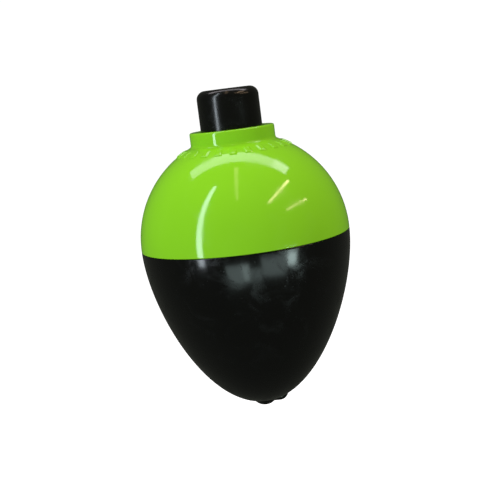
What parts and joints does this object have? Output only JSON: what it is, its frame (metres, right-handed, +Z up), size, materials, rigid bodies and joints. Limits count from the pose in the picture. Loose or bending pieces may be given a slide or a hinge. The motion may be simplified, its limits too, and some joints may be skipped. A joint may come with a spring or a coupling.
{
  "type": "bobber float",
  "caption": "Pear-shaped clip-on fishing float: lime dome, black hull, sprung push button and a wire line hook at each end.",
  "frame": {"origin": "on the float's axis, level with the end of the boss at the bottom of the hull", "axes": "+Z up the float's axis, from the boss to the push button; +X towards the tips of both hooks"},
  "size_m": [0.0318, 0.0318, 0.049],
  "materials": {
    "lime_plastic": "glossy moulded plastic, bright yellow-green, slightly wavy from moulding, with fine handling marks",
    "black_plastic": "glossy moulded plastic, black, with fine scuffs and faint smudges",
    "button_plastic": "black moulded plastic, slightly softer gloss than the hull",
    "blackened_wire": "blackened spring wire with a dull sheen",
    "spring_steel": "drawn spring steel, bright"
  },
  "bodies": {
    "float_body": {"upper_shell": "lime_plastic", "lower_shell": "black_plastic", "return_spring": "spring_steel"},
    "hook": {"hook_wire": "blackened_wire"},
    "button": {"push_button": "button_plastic"}
  },
  "joints": [
    {"name": "hook_press", "type": "slide", "parent": "float_body", "child": "hook", "axis": [0, 0, -1], "range_m": [0, 0.0037], "stiffness_N_per_m": 350, "springref_m": -0.005, "deforming": ["return_spring"]},
    {"name": "button_press", "type": "slide", "parent": "hook", "child": "button", "axis": [0, 0, -1], "range_m": [0, 0.0037], "stiffness_N_per_m": 350, "springref_m": -0.005, "deforming": ["return_spring"]}
  ]
}
